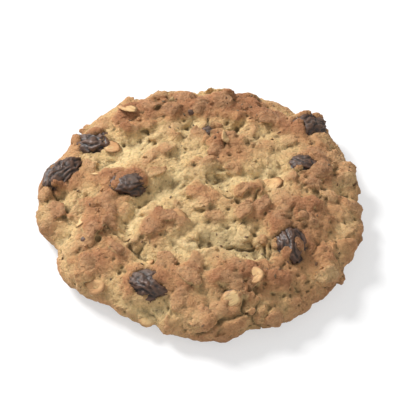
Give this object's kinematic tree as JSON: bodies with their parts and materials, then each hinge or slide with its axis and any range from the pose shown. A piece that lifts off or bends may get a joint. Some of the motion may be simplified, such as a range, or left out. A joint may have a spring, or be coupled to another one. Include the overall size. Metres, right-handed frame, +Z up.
{
  "type": "oatmeal raisin cookie",
  "caption": "Thick round drop cookie of oat dough with an uneven, craggy top and edge, a flat underside and raisins sunk in its top.",
  "frame": {"origin": "under the middle of the cookie, on the surface that it lies on", "axes": "+Z up through the cookie's thickness; +X to the right and +Y away from a viewer who has the pair of edge raisins at the left"},
  "size_m": [0.0858, 0.0836, 0.0153],
  "materials": {
    "baked_oat_dough": "matt, crumbly baked dough, golden with browned ridges and edge",
    "raisin_skin": "dark wrinkled skin with a soft sheen"
  },
  "bodies": {
    "root": {"dough": "baked_oat_dough", "raisin_1": "raisin_skin", "raisin_2": "raisin_skin", "raisin_3": "raisin_skin", "raisin_4": "raisin_skin", "raisin_5": "raisin_skin", "raisin_6": "raisin_skin", "raisin_7": "raisin_skin", "raisin_8": "raisin_skin"}
  },
  "joints": []
}
